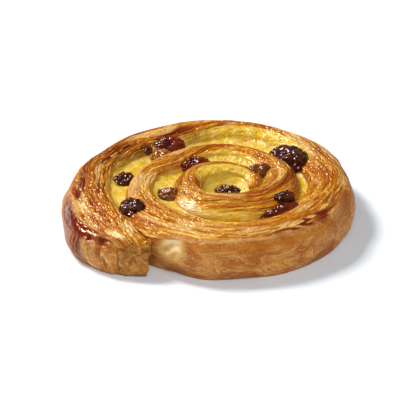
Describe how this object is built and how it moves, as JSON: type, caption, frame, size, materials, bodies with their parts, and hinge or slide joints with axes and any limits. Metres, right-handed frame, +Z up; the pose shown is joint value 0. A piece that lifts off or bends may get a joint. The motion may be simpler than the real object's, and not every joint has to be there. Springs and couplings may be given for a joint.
{
  "type": "raisin custard pastry",
  "caption": "Flat rolled pastry: a spiral of flaky laminated dough with custard pools and raisins in the seam and in the eye, and a torn tail end.",
  "frame": {"origin": "centre of the bounding box, on the flat base that lies on the table", "axes": "+Z up through the eye of the spiral, +X to the right of a viewer who faces the torn tail end at the front left, +Y to the back"},
  "size_m": [0.125, 0.1122, 0.0222],
  "materials": {
    "baked_dough": "glazed, flaky golden-brown baked dough",
    "custard": "glossy baked yellow custard",
    "raisin": "wrinkled glossy dark raisin",
    "golden_raisin": "glossy amber raisin"
  },
  "bodies": {
    "root": {"dough": "baked_dough", "custard": "custard", "raisin_plump": "raisin", "raisin_tucked": "raisin", "raisin_golden": "golden_raisin", "raisin_left": "raisin", "raisin_black": "raisin", "raisin_inner_left": "raisin", "raisin_red": "raisin", "raisin_inner_right": "raisin", "raisin_eye": "raisin", "raisin_big": "raisin", "raisin_small": "raisin", "raisin_long": "raisin"}
  },
  "joints": []
}
